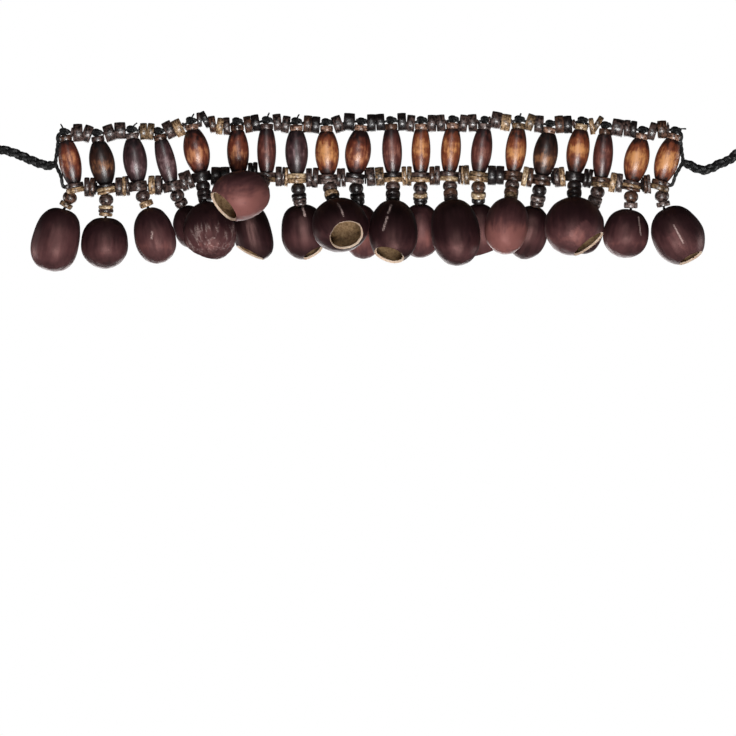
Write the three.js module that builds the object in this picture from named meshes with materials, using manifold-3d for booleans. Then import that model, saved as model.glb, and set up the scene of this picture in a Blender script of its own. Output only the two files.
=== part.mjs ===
// Seed ankle rattle: oval wooden beads strung between two rows of shell discs, with a hollow seed pod
// hung under each bead and a braided tie at each end. The band is drawn out flat, as it lies untied.
// Millimetres. +Z is up, X runs along the band and -Y points away from the ankle.
// The origin is where the ankle sits, behind the middle of the band.

import * as THREE from 'three';
import { mergeVertices } from 'three/addons/utils/BufferGeometryUtils.js';
import Module from 'manifold-3d';

const wasm = await Module();
wasm.setup();

// Oval beads, bored lengthwise for the thread
const beadLength = 19;
const beadEnd = 5.6;
const beadBore = 2.2;
const beadSides = 8;
const beadSteps = 4;
const shoulderSteps = 40;

// Discs: a cap on each bead, a base under it, and the discs that fill the rows in between
const capDiameter = 6.6;
const capThickness = 2.2;
const baseDiameter = 8.2;
const baseThickness = 3.2;
const discDiameter = 8;
const discThickness = 3.6;
const discSides = 6;

// Pendants: a round bead and one or two collars above each pod
const roundDiameter = 6;
const collarDiameter = 6.4;
const collarThickness = 2.2;
const collarStep = 0.5;

// Thread, the knots on the caps and the stopper knots inside the pods
const threadDiameter = 1.2;
const threadSides = 4;
const knotDiameter = 3.8;
const stopperDiameter = 4;
const stopperDrop = 4.4;

// Seed pods: thin shells with a thread hole at the top and a mouth sawn off
const podWall = 1.1;
const podHole = 3.4;
const podGap = 0.8;
const podTaper = 0.08;
const mouthDiameter = 15;
const podSides = 8;
const podSteps = 5;

// Braided ties
const tieDiameter = 4;
const tieSides = 8;
const tieSteps = 6;
const tieKnotDiameter = 7;

// Running gap between pieces that touch on the real band
const clearance = 0.3;

// One entry per bead, left to right. x and z are the bead's middle, lean is how far its top leans to
// the right and width is its girth. stem and pod give [lean right, tilt forward] in degrees.
// size is the pod's [width, depth, height] and mouth the way its sawn mouth faces.
const columns = [
  { x: -132.0, z: -3.1, lean: -11, width: 9.7, stem: [-27, 0], collars: 1, pod: [-14, 0],
    size: [20.8, 20, 27.4], mouth: [0.1, 0.8, -0.6] },
  { x: -117.9, z: -3.5, lean: -10, width: 11.2, stem: [-2, 0], collars: 2, pod: [-2, 0],
    size: [20.8, 20, 22.4], mouth: [0, 0.82, -0.57] },
  { x: -103.4, z: -2.2, lean: -7, width: 10.6, stem: [24, 0], collars: 1, pod: [13, 0],
    size: [18.6, 18.6, 24.4], mouth: [0.1, 0.82, -0.56] },
  { x: -89.8, z: -2.6, lean: -14, width: 8.4, stem: [26, -18], collars: 1, pod: [20, -18],
    size: [17.2, 15.6, 23.6], mouth: [0, 0.85, -0.53] },
  { x: -76.3, z: 1.8, lean: -11, width: 11.4, stem: [8, 24], collars: 2, pod: [8, 24],
    size: [22.6, 18.6, 26.2], mouth: [0.15, 0.8, -0.58] },
  { x: -58.1, z: 1.3, lean: -2, width: 9.7, stem: [13, -18], collars: 2, pod: [13, -18],
    size: [16.6, 16.4, 26], mouth: [-0.12, -0.3, -0.95] },
  { x: -45.5, z: 1.8, lean: 0, width: 8.4, stem: [-18, 58], collars: 1, slack: 1.6, pod: [-36, 50],
    size: [23.2, 20.6, 25], mouth: [-0.72, -0.34, -0.6] },
  { x: -32.3, z: 1.3, lean: -1, width: 10.1, stem: [6, -18], collars: 2, pod: [6, -18],
    size: [20.2, 18, 25.8], mouth: [0.45, -0.14, -0.88] },
  { x: -18.9, z: 0.9, lean: -1.5, width: 10.6, stem: [12, 32], collars: 2, pod: [13, 32],
    size: [24, 20.6, 24], mouth: [0.27, -0.88, -0.39] },
  { x: -5.3, z: 1.3, lean: 7, width: 11.4, stem: [7, -20], collars: 2, pod: [7, -20],
    size: [16.4, 15.6, 24.4], mouth: [0, 0.85, -0.53] },
  { x: 9.7, z: 1.8, lean: -2, width: 8.8, stem: [0, 27], collars: 2, pod: [0, 27],
    size: [21.6, 20.4, 29.6], mouth: [-0.25, -0.5, -0.83] },
  { x: 22.4, z: 1.8, lean: 1, width: 8.4, stem: [0, -19], collars: 2, pod: [0, -19],
    size: [17.6, 16.4, 23.8], mouth: [0, 0.85, -0.53] },
  { x: 35.6, z: 2.2, lean: 4, width: 8.8, stem: [4, 24], collars: 2, pod: [7, 24],
    size: [21.2, 19.6, 28], mouth: [0.1, 0.82, -0.56] },
  { x: 49.1, z: 2.0, lean: 7, width: 9.2, stem: [0, -18], collars: 2, pod: [3, -18],
    size: [18.4, 16.4, 26.4], mouth: [0.3, 0.6, -0.74] },
  { x: 64.2, z: 2.2, lean: 6, width: 9.2, stem: [-6, 31], collars: 2, pod: [-8, 31],
    size: [19, 18.4, 25.6], mouth: [0.3, 0.75, -0.59] },
  { x: 77.2, z: 0.4, lean: 9, width: 10.8, stem: [-10, -19], collars: 2, pod: [-16, -19],
    size: [17.8, 16.4, 24.8], mouth: [0.1, 0.85, -0.52] },
  { x: 91.5, z: 1.8, lean: 8, width: 10.1, stem: [-1, 32], collars: 2, pod: [-1, 32],
    size: [26, 22.4, 26.6], mouth: [0.6, 0.12, -0.79] },
  { x: 102.5, z: -0.4, lean: 5, width: 8.8, stem: [-16, -20], collars: 2, pod: [-16, -20],
    size: [16, 15.6, 22], mouth: [0, 0.85, -0.53] },
  { x: 117.3, z: -2.2, lean: 12, width: 11, stem: [-1, 0], collars: 1, pod: [-12, 0],
    size: [20.2, 19.6, 21.6], mouth: [0, 0.82, -0.57] },
  { x: 130.7, z: -2.2, lean: 16, width: 10.6, stem: [10, 0], collars: 1, pod: [28, 0],
    size: [22.6, 21, 27], mouth: [0.47, -0.24, -0.85] },
];

// The ties' routes from the end beads outwards, as [x, z]
const tieLeftRoute = [
  [-138.7, -4.2], [-140.7, -4.6], [-142.9, -4.5], [-145.2, -3.8], [-147.6, -2.9],
  [-150.0, -1.9], [-152.4, -0.8], [-154.8, 0.2], [-157.2, 1.1], [-159.6, 1.8],
  [-162.0, 2.3], [-164.6, 2.7], [-167.2, 3.0], [-169.9, 3.2], [-172.6, 3.3],
];
const tieRightRoute = [
  [138.1, -3.3], [140.2, -4.2], [142.8, -5.5], [145.0, -6.4], [147.4, -6.6],
  [149.8, -5.9], [152.1, -4.7], [154.4, -3.6], [156.7, -2.8], [158.8, -1.6],
  [160.6, 0.0], [162.4, 1.7], [164.6, 3.0], [167.0, 3.9], [169.5, 4.5],
];

// The thickest bead lies against the ankle, and every bead is strung in that plane
const bandY = -Math.max(...columns.map((column) => column.width)) / 2;

const upAxis = new THREE.Vector3(0, 0, 1);
const rightAxis = new THREE.Vector3(1, 0, 0);

const finish = (color, roughness) => new THREE.MeshStandardMaterial({ color, roughness, metalness: 0 });
const beadWood = finish(0x5a2e1c, 0.3);
const podShell = finish(0x3a2226, 0.45);
const discShell = finish(0x33261f, 0.55);
const waxedCord = finish(0x161616, 0.7);

const radians = THREE.MathUtils.degToRad;

// A hanging direction: leaning to the right and tilted forward from straight down
function hanging([lean, tilt]) {
  const side = Math.sin(radians(lean));
  const forward = Math.sin(radians(tilt));
  return new THREE.Vector3(side, -forward, -Math.sqrt(1 - side * side - forward * forward));
}

// Solids that joins and cuts work on, from closed meshes

function solid(geometry) {
  const bare = geometry.clone();
  bare.deleteAttribute('normal');
  bare.deleteAttribute('uv');
  const merged = mergeVertices(bare, 1e-4);
  const vertProperties = new Float32Array(merged.attributes.position.array);
  const triVerts = new Uint32Array(merged.index.array);
  return new wasm.Manifold(new wasm.Mesh({ numProp: 3, vertProperties, triVerts }));
}

function joined(geometries) {
  return geometries.map(solid).reduce((sum, next) => sum.add(next));
}

function shape(manifold) {
  const made = manifold.getMesh();
  const geometry = new THREE.BufferGeometry();
  geometry.setAttribute('position', new THREE.BufferAttribute(made.vertProperties, 3));
  geometry.setIndex(new THREE.BufferAttribute(made.triVerts, 1));
  geometry.computeVertexNormals();
  return geometry;
}

// A turned shape about +Z from its [radius, height] outline, listed from the bottom up, with a corner to +X
function turned(outline, sides) {
  const points = outline.map(([radius, height]) => new THREE.Vector2(radius, height));
  return new THREE.LatheGeometry(points, sides, Math.PI / 2).rotateX(Math.PI / 2);
}

// Turns a shape's +Z to the given direction and moves it to its place
function aimed(geometry, direction, place) {
  geometry.applyQuaternion(new THREE.Quaternion().setFromUnitVectors(upAxis, direction));
  return geometry.translate(place.x, place.y, place.z);
}

// A round outline with flat sides
function ring(diameter, sides) {
  const corners = [];
  for (let side = 0; side < sides; side += 1) {
    const angle = (side / sides) * 2 * Math.PI;
    corners.push(new THREE.Vector2(Math.cos(angle), Math.sin(angle)).multiplyScalar(diameter / 2));
  }
  return new THREE.Shape(corners);
}

// A shell disc on the thread, centred on its place
function disc(diameter, thickness, axis, place) {
  const flat = new THREE.ExtrudeGeometry(ring(diameter, discSides), { depth: thickness, bevelEnabled: false });
  return aimed(flat.translate(0, 0, -thickness / 2), axis, place);
}

// A straight run of thread
function thread(from, to) {
  const run = to.clone().sub(from);
  const depth = run.length();
  const line = new THREE.ExtrudeGeometry(ring(threadDiameter, threadSides), { depth, bevelEnabled: false });
  return aimed(line, run.normalize(), from);
}

// A run of thread that swells into a knot part of the way along
function knottedThread(from, to, knotAt) {
  const run = to.clone().sub(from);
  const string = threadDiameter / 2;
  const outline = [
    [0, 0], [string, 0], [knotDiameter / 2, knotAt], [string, run.length()], [0, run.length()],
  ];
  return aimed(turned(outline, threadSides), run.normalize(), from);
}

// A cord that follows a curve
function cord(points, diameter, sides, steps) {
  const extrudePath = new THREE.CatmullRomCurve3(points);
  return new THREE.ExtrudeGeometry(ring(diameter, sides), { steps, extrudePath, bevelEnabled: false });
}

// A knot at the end of a cord: a turned lump
function endKnot(diameter, axis, place) {
  const radius = diameter / 2;
  const outline = [[0, -radius], [radius, -radius * 0.4], [radius, radius * 0.4], [0, radius]];
  return aimed(turned(outline, tieSides), axis, place);
}

// Places along a column, from the bead's middle

const capMiddle = beadLength / 2 + clearance + capThickness / 2;
const topRow = capMiddle + (capThickness + knotDiameter) / 2 - clearance;
const bottomRow = beadLength / 2 + clearance + baseThickness / 2;

columns.forEach((column) => {
  column.middle = new THREE.Vector3(column.x, bandY, column.z);
  column.axis = new THREE.Vector3(Math.sin(radians(column.lean)), 0, Math.cos(radians(column.lean)));
  column.top = column.middle.clone().addScaledVector(column.axis, topRow);
  column.bottom = column.middle.clone().addScaledVector(column.axis, -bottomRow);
});

// The bead's girth at a height from its middle, on an arc through its ends and its widest point
function beadRadius(width, height) {
  const rise = (width - beadEnd) / 2;
  const arc = (beadLength * beadLength / 4 + rise * rise) / (2 * rise);
  return width / 2 - arc + Math.sqrt(arc * arc - height * height);
}

function ovalBead(column) {
  const bore = beadBore / 2;
  const outline = [[bore, -beadLength / 2]];
  for (let step = 0; step <= beadSteps; step += 1) {
    const height = beadLength * (step / beadSteps - 0.5);
    outline.push([beadRadius(column.width, height), height]);
  }
  outline.push([bore, beadLength / 2], [bore, -beadLength / 2]);
  return turned(outline, beadSides);
}

// How far a column stands into the row beside it, along the row's thread: the edges of its cap and base,
// and its oval bead and round bead where they come level with the discs
function rowStart(column, axis, atTop) {
  const from = atTop ? column.top : column.bottom;
  const across = new THREE.Vector3(column.axis.z, 0, -column.axis.x).multiplyScalar(Math.sign(axis.x));
  const edge = (height, out) => column.middle.clone()
    .addScaledVector(column.axis, height)
    .addScaledVector(across, out);
  const edges = [];
  [-0.5, 0.5].forEach((share) => {
    edges.push(edge(capMiddle + share * capThickness, capDiameter / 2));
    edges.push(edge(share * baseThickness - bottomRow, baseDiameter / 2));
  });
  const round = column.bottom.clone()
    .addScaledVector(hanging(column.stem), (baseThickness + roundDiameter) / 2);
  for (let step = 0; step <= shoulderSteps; step += 1) {
    const share = step / shoulderSteps - 0.5;
    edges.push(edge(beadLength * share, beadRadius(column.width, beadLength * share)));
    edges.push(round.clone()
      .addScaledVector(axis, Math.cos(Math.PI * share) * roundDiameter / 2)
      .addScaledVector(upAxis, Math.sin(Math.PI * share) * roundDiameter / 2));
  }
  const reaches = edges.map((point) => {
    const out = point.sub(from);
    const along = out.dot(axis);
    const off = Math.sqrt(out.lengthSq() - along * along);
    return off < discDiameter / 2 + clearance ? along : 0;
  });
  return Math.max(...reaches) + clearance;
}

// The discs of one row between a column and its neighbour, as far as the middle of the gap, and the
// point where their thread ends: inside the last disc, where the band bends, or on at the neighbour
function rowDiscs(column, neighbour, atTop, runsOn) {
  const from = atTop ? column.top : column.bottom;
  const to = atTop ? neighbour.top : neighbour.bottom;
  const axis = to.clone().sub(from);
  const length = axis.length();
  axis.normalize();
  const start = rowStart(column, axis, atTop);
  const half = (length - start - rowStart(neighbour, axis.clone().negate(), atTop) - clearance) / 2;
  const count = Math.max(1, Math.round(half / discThickness));
  const thickness = (half - (count - 1) * clearance) / count;
  const discs = [];
  for (let index = 0; index < count; index += 1) {
    const reach = start + index * (thickness + clearance) + thickness / 2;
    discs.push(disc(discDiameter, thickness, axis, from.clone().addScaledVector(axis, reach)));
  }
  const end = start + half + (runsOn ? clearance : -thickness / 2);
  return { discs, end: from.clone().addScaledVector(axis, end) };
}

// One row of a column: its discs on both sides and the thread through them, which at the top is
// knotted on the cap. An end column has discs on one side only.
function row(index, held, atTop) {
  const column = columns[index];
  const middle = atTop ? column.top : column.bottom;
  const pieces = [];
  const ends = [-1, 1].map((side) => {
    const neighbour = columns[index + side];
    if (neighbour === undefined) {
      return middle.clone().addScaledVector(rightAxis, side * knotDiameter / 2);
    }
    const { discs, end } = rowDiscs(column, neighbour, atTop, held.includes(index + side));
    pieces.push(...discs);
    return end;
  });
  if (atTop) {
    pieces.push(knottedThread(ends[0], ends[1], middle.distanceTo(ends[0])));
  } else {
    pieces.push(thread(middle, ends[0]), thread(middle, ends[1]));
  }
  return pieces;
}

// Length of a pendant from the row's thread to the pod's thread hole
function stemLength({ collars, slack = 0 }) {
  return baseThickness / 2 + roundDiameter + collars * collarThickness + podGap + slack + podWall / 2;
}

// Round bead, collars, the thread through the pod's hole and the stopper knot inside the pod
function pendant(column) {
  const round = roundDiameter / 2;
  const top = baseThickness / 2;
  const outline = [
    [0, top - clearance],
    [round * Math.SQRT1_2, top + round * (1 - Math.SQRT1_2)],
    [round, top + round],
    [round * Math.SQRT1_2, top + round * (1 + Math.SQRT1_2)],
  ];
  let depth = top + roundDiameter - clearance;
  for (let index = 0; index < column.collars; index += 1) {
    const radius = collarDiameter / 2 - (index % 2) * collarStep;
    outline.push([radius, depth]);
    depth = top + roundDiameter + (index + 1) * collarThickness;
    outline.push([radius, depth]);
  }
  const string = threadDiameter / 2;
  const stopper = stemLength(column) + stopperDrop;
  outline.push(
    [string, depth],
    [string, stopper - stopperDiameter * 0.4],
    [stopperDiameter / 2, stopper],
    [0, stopper + stopperDiameter * 0.4],
  );
  return aimed(turned(outline, discSides), hanging(column.stem), column.bottom);
}

// Cap, base, pendant and the thread through the bead
function columnString(column) {
  const { axis, middle, top, bottom } = column;
  return [
    thread(bottom, top),
    disc(capDiameter, capThickness, axis, middle.clone().addScaledVector(axis, capMiddle)),
    disc(baseDiameter, baseThickness, axis, bottom),
    pendant(column),
  ];
}

// The end strand that runs down the outer side of an end bead, from its knot to its base
function endStrand(column, side) {
  const beside = 1.5 * clearance + threadDiameter / 2;
  const across = rightAxis.clone().applyAxisAngle(new THREE.Vector3(0, 1, 0), radians(column.lean));
  const place = (out, height) => column.middle.clone()
    .addScaledVector(across, side * out)
    .addScaledVector(column.axis, height);
  const points = [
    place(0, topRow),
    place(capDiameter / 2 + beside, capMiddle + capThickness),
    place(capDiameter / 2 + beside, capMiddle - capThickness / 2),
    place(beadRadius(column.width, beadLength / 4) + beside, beadLength / 4),
    place(column.width / 2 + beside, 0),
    place(beadRadius(column.width, beadLength / 4) + beside, -beadLength / 4),
    place(baseDiameter / 2 + beside - clearance, -bottomRow + baseThickness / 2),
    place(0, -bottomRow),
  ];
  return cord(points, threadDiameter, threadSides, points.length);
}

// A seed pod's shell about its own middle: a tapered oval, hollow inside, with the thread hole at the top.
// The outline runs up the outside, through the hole and down the inside.
function hollowOval(size) {
  const outline = [];
  [0, 2 * podWall].forEach((inset) => {
    const top = Math.acos(podHole / (size[0] - inset));
    for (let step = 0; step <= podSteps; step += 1) {
      const share = inset === 0 ? step / podSteps : 1 - step / podSteps;
      const latitude = (top + Math.PI / 2) * share - Math.PI / 2;
      outline.push({ radius: share === 0 ? 0 : Math.cos(latitude), rise: Math.sin(latitude), inset });
    }
  });
  const geometry = turned(outline.map(({ radius, rise }) => [radius, rise]), podSides);
  const place = geometry.attributes.position;
  for (let index = 0; index < place.count; index += 1) {
    const { rise, inset } = outline[index % outline.length];
    const [across, deep, tall] = size.map((span) => (span - inset) / 2);
    const girth = 1 - podTaper * rise;
    place.setXYZ(index, place.getX(index) * girth * across, place.getY(index) * girth * deep, rise * tall);
  }
  return geometry;
}

function podFrame(column) {
  const down = hanging(column.pod);
  const across = rightAxis.clone().addScaledVector(down, -rightAxis.dot(down)).normalize();
  const back = new THREE.Vector3().crossVectors(across, down);
  const hole = column.bottom.clone().addScaledVector(hanging(column.stem), stemLength(column));
  const centre = hole.addScaledVector(down, column.size[2] / 2 - podWall / 2);
  return new THREE.Matrix4().makeBasis(across, back, down.negate()).setPosition(centre);
}

// The shell with its mouth sawn off square to the way it faces
function seedPod({ size, mouth }, frame) {
  const span = Math.max(...size);
  const facing = new THREE.Vector3(...mouth).normalize();
  facing.transformDirection(frame.clone().invert());
  const mean = (size[0] + size[1] + size[2]) / 3;
  const share = Math.sqrt(1 - (mouthDiameter / mean) ** 2);
  const reach = share * Math.hypot(facing.x * size[0], facing.y * size[1], facing.z * size[2]) / 2;
  const saw = new THREE.BoxGeometry(2 * span, 2 * span, span).translate(0, 0, span / 2 + reach);
  aimed(saw, facing, new THREE.Vector3());
  return shape(solid(hollowOval(size)).subtract(solid(saw)));
}

function tie(route) {
  const points = route.map(([x, z]) => new THREE.Vector3(x, bandY, z));
  const last = points[points.length - 1];
  const axis = last.clone().sub(points[points.length - 2]).normalize();
  const braid = cord(points, tieDiameter, tieSides, tieSteps);
  const lump = endKnot(tieKnotDiameter, axis, last.clone().addScaledVector(axis, tieKnotDiameter * 0.3));
  return shape(joined([braid, lump]));
}

// The assembly

const rattle = new THREE.Group();

function add(name, geometry, material) {
  const mesh = new THREE.Mesh(geometry, material);
  mesh.name = name;
  rattle.add(mesh);
  return mesh;
}

const label = (index) => String(index + 1).padStart(2, '0');
const last = columns.length - 1;

columns.forEach((column, index) => {
  const bead = add(`oval_bead_${label(index)}`, ovalBead(column), beadWood);
  bead.position.copy(column.middle);
  bead.rotation.y = radians(column.lean);

  const frame = podFrame(column);
  const pod = add(`seed_pod_${label(index)}`, seedPod(column, frame), podShell);
  pod.applyMatrix4(frame);
});

// The two columns at each end share one string, and the others have one each
const strings = [[0, 1]];
for (let index = 2; index < last - 1; index += 1) {
  strings.push([index]);
}
strings.push([last - 1, last]);

strings.forEach((held) => {
  const pieces = [];
  held.forEach((index) => {
    pieces.push(...columnString(columns[index]), ...row(index, held, true), ...row(index, held, false));
  });
  if (held.includes(0)) {
    pieces.push(endStrand(columns[0], -1));
  }
  if (held.includes(last)) {
    pieces.push(endStrand(columns[last], 1));
  }
  add(`string_${held.map(label).join('_')}`, shape(joined(pieces)), discShell);
});

add('tie_left', tie(tieLeftRoute), waxedCord);
add('tie_right', tie(tieRightRoute), waxedCord);

export default rattle;
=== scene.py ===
import math
import random
import bmesh
import bpy
from mathutils import Matrix, Vector, noise


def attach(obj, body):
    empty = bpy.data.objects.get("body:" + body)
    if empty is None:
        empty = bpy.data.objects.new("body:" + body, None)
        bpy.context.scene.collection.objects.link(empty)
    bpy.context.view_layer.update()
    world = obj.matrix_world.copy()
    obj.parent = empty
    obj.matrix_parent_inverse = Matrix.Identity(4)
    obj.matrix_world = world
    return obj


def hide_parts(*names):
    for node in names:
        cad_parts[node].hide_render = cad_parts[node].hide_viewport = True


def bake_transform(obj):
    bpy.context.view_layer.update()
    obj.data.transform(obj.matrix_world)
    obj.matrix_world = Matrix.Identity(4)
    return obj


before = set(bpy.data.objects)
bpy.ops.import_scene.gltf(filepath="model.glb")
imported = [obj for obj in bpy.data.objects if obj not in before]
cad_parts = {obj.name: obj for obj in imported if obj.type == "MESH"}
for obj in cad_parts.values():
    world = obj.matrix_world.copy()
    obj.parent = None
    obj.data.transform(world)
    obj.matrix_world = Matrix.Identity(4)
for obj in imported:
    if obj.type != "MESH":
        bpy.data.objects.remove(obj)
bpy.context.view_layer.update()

mm = 0.001
scene = bpy.context.scene
chance = random.Random(20)

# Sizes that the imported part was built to, in millimetres
built = {
    "beadLength": 19, "beadEnd": 5.6, "capHigh": 2.2, "baseHigh": 3.2, "roundSpan": 6, "collarSpan": 6.4,
    "collarHigh": 2.2, "knot": 3.8, "stopperDrop": 4.4, "podWall": 1.1, "podGap": 0.8, "podTaper": 0.08,
    "mouthSpan": 15, "tie": 4, "gap": 0.3,
}

# One line per bead from the left: middle x and z, lean, girth, the stem's lean and tilt, how many collars,
# the pod's lean and tilt, its width, depth and height, and the way that its mouth faces
strung = [
    (-132.0, -3.1, -11, 9.7, (-27, 0), 1, (-14, 0), (20.8, 20, 27.4), (0.1, 0.8, -0.6)),
    (-117.9, -3.5, -10, 11.2, (-2, 0), 2, (-2, 0), (20.8, 20, 22.4), (0, 0.82, -0.57)),
    (-103.4, -2.2, -7, 10.6, (24, 0), 1, (13, 0), (18.6, 18.6, 24.4), (0.1, 0.82, -0.56)),
    (-89.8, -2.6, -14, 8.4, (26, -18), 1, (20, -18), (17.2, 15.6, 23.6), (0, 0.85, -0.53)),
    (-76.3, 1.8, -11, 11.4, (8, 24), 2, (8, 24), (22.6, 18.6, 26.2), (0.15, 0.8, -0.58)),
    (-58.1, 1.3, -2, 9.7, (13, -18), 2, (13, -18), (16.6, 16.4, 26), (-0.12, -0.3, -0.95)),
    (-45.5, 1.8, 0, 8.4, (-18, 58), 1, (-36, 50), (23.2, 20.6, 25), (-0.72, -0.34, -0.6)),
    (-32.3, 1.3, -1, 10.1, (6, -18), 2, (6, -18), (20.2, 18, 25.8), (0.45, -0.14, -0.88)),
    (-18.9, 0.9, -1.5, 10.6, (12, 32), 2, (13, 32), (24, 20.6, 24), (0.27, -0.88, -0.39)),
    (-5.3, 1.3, 7, 11.4, (7, -20), 2, (7, -20), (16.4, 15.6, 24.4), (0, 0.85, -0.53)),
    (9.7, 1.8, -2, 8.8, (0, 27), 2, (0, 27), (21.6, 20.4, 29.6), (-0.25, -0.5, -0.83)),
    (22.4, 1.8, 1, 8.4, (0, -19), 2, (0, -19), (17.6, 16.4, 23.8), (0, 0.85, -0.53)),
    (35.6, 2.2, 4, 8.8, (4, 24), 2, (7, 24), (21.2, 19.6, 28), (0.1, 0.82, -0.56)),
    (49.1, 2.0, 7, 9.2, (0, -18), 2, (3, -18), (18.4, 16.4, 26.4), (0.3, 0.6, -0.74)),
    (64.2, 2.2, 6, 9.2, (-6, 31), 2, (-8, 31), (19, 18.4, 25.6), (0.3, 0.75, -0.59)),
    (77.2, 0.4, 9, 10.8, (-10, -19), 2, (-16, -19), (17.8, 16.4, 24.8), (0.1, 0.85, -0.52)),
    (91.5, 1.8, 8, 10.1, (-1, 32), 2, (-1, 32), (26, 22.4, 26.6), (0.6, 0.12, -0.79)),
    (102.5, -0.4, 5, 8.8, (-16, -20), 2, (-16, -20), (16, 15.6, 22), (0, 0.85, -0.53)),
    (117.3, -2.2, 12, 11, (-1, 0), 1, (-12, 0), (20.2, 19.6, 21.6), (0, 0.82, -0.57)),
    (130.7, -2.2, 16, 10.6, (10, 0), 1, (28, 0), (22.6, 21, 27), (0.47, -0.24, -0.85)),
]
bandY = -max(line[3] for line in strung) / 2
last = len(strung) - 1


def linear(code):    # an sRGB hex colour as Blender wants it
    parts = [int(code[start:start + 2], 16) / 255 for start in (1, 3, 5)]
    return [p / 12.92 if p <= 0.04045 else ((p + 0.055) / 1.055) ** 2.4 for p in parts] + [1]


def node(tree, kind, inputs=None, stops=None, **settings):
    made = tree.nodes.new(kind)
    for key, value in settings.items():
        setattr(made, key, value)
    for index, (place, colour) in enumerate(stops or []):
        ramp = made.color_ramp.elements
        stop = ramp[index] if index < 2 else ramp.new(place)
        stop.position = place
        stop.color = linear(colour) if isinstance(colour, str) else (colour, colour, colour, 1)
    for key, value in (inputs or {}).items():
        if isinstance(value, bpy.types.NodeSocket):
            tree.links.new(value, made.inputs[key])
        else:
            made.inputs[key].default_value = value
    return made


def newFinish(name):
    finish = bpy.data.materials.new(name)
    finish.use_nodes = True
    finish.node_tree.nodes.clear()
    return finish, finish.node_tree


def readMark(tree, name, output="Fac"):    # what a mesh attribute says
    return node(tree, "ShaderNodeAttribute", attribute_name=name).outputs[output]


def mottle(tree, place, scale, detail, rough=0.5, stretch=None):    # noise with lumps of 1 / scale
    if stretch:
        place = node(tree, "ShaderNodeMapping", {"Vector": place, "Scale": stretch}).outputs[0]
    inputs = {"Vector": place, "Scale": scale, "Detail": detail, "Roughness": rough}
    return node(tree, "ShaderNodeTexNoise", inputs).outputs["Fac"]


def maths(tree, operation, *values):
    return node(tree, "ShaderNodeMath", dict(enumerate(values)), operation=operation).outputs[0]


def addShare(tree, base, value, share):
    return maths(tree, "MULTIPLY_ADD", value, share, base)


def toned(tree, level, stops):
    return node(tree, "ShaderNodeValToRGB", {"Fac": level}, stops=stops).outputs[0]


def ranged(tree, value, low, high):
    return node(tree, "ShaderNodeMapRange", {"Value": value, "To Min": low, "To Max": high}).outputs[0]


def relief(tree, height, strength, depth, **more):    # depth in metres
    inputs = {"Height": height, "Strength": strength, "Distance": depth, **more}
    return node(tree, "ShaderNodeBump", inputs).outputs[0]


def shine(tree, colour, bump, **sockets):    # the last two nodes of every finish
    shader = node(tree, "ShaderNodeBsdfPrincipled", {"Base Color": colour, "Normal": bump, **sockets})
    node(tree, "ShaderNodeOutputMaterial", {"Surface": shader.outputs[0]})


# Palm wood, turned and wax polished: dark ends, a warm heart, grain streaks down the bead, a hard gloss.
# "grain" holds millimetres along the bead's own axes. The heart attribute is 1 where the heart wood shows;
# it also holds painted light, paler on the bead's front and back, and painted shade along its sides.
palmTones = {
    "amber": ("#240f0d", "#8a462a", "#dc995f"),
    "russet": ("#1e0c0c", "#763826", "#cb865c"),
    "redBrown": ("#1e0e10", "#63332c", "#a26a5a"),
    "mauve": ("#1a0f12", "#4c3133", "#8d7072"),
    "ebony": ("#0f0808", "#40241c", "#a06c48"),
}


def palmWood(tone):
    dark, middle, light = palmTones[tone]
    finish, tree = newFinish("palmWood_" + tone)
    grain = readMark(tree, "grain", "Vector")
    # 1 mm by 8 mm
    streaks = mottle(tree, grain, scale=1.0, detail=5.0, rough=0.65, stretch=(0.9, 0.9, 0.13))
    blotches = mottle(tree, grain, scale=0.4, detail=4.0)    # 2.5 mm
    level = addShare(tree, readMark(tree, "heartAndLight"), streaks, share=0.85)
    level = addShare(tree, level, blotches, share=0.8)
    colour = toned(tree, level, [(0.34, dark), (0.72, middle), (1.0, light)])
    shine(tree, colour, relief(tree, streaks, strength=0.25, depth=0.0004),
          Roughness=ranged(tree, streaks, low=0.26, high=0.5), **{"Specular IOR Level": 0.8})
    return finish


# Seed pod skin, dried and hand rubbed: purple brown, satin, faint streaks from stalk to tip and pale scuffs.
# The warmth attribute is 1 where a pod reddens; it also holds painted shade, darker towards the pod's top,
# and painted light, paler below its middle and on a facet's painted highlight. The scuff attribute is 1 where
# the skin is worn through, and also along the wrinkled pod's ridge tops, as a painted highlight.
def podSkin():
    finish, tree = newFinish("driedPodSkin")
    grain = readMark(tree, "grain", "Vector")
    streaks = mottle(tree, grain, scale=1.0, detail=4.0, stretch=(0.5, 0.5, 0.08))    # 2 mm by 12 mm
    clouds = mottle(tree, grain, scale=0.12, detail=3.0)    # 8 mm
    pores = mottle(tree, grain, scale=2.2, detail=2.0)    # 0.5 mm
    level = addShare(tree, readMark(tree, "warmthAndPaintedLight"), clouds, share=0.4)
    level = addShare(tree, level, streaks, share=0.4)
    skin = toned(tree, level, [(0.1, "#0b0506"), (0.5, "#2b181b"), (0.8, "#553536"), (1.0, "#865550")])
    # pale worn skin, and the painted highlight along the wrinkled pod's ridges
    paleSpecks = maths(tree, "MULTIPLY", pores, readMark(tree, "scuffAndSheen"))
    wornAndSheen = node(tree, "ShaderNodeMapRange", {"Value": paleSpecks, "From Min": 0.16, "From Max": 0.5})
    colour = node(tree, "ShaderNodeMixRGB",
                  {"Fac": wornAndSheen.outputs[0], "Color1": skin, "Color2": linear("#c4aca6")})
    bump = relief(tree, streaks, strength=0.25, depth=0.0006)
    bump = relief(tree, pores, strength=0.08, depth=0.0003, Normal=bump)
    shine(tree, colour.outputs[0], bump, Roughness=ranged(tree, streaks, low=0.4, high=0.54),
          **{"Specular Tint": linear("#ffc4bc"), "Specular IOR Level": 0.48})
    return finish


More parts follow.
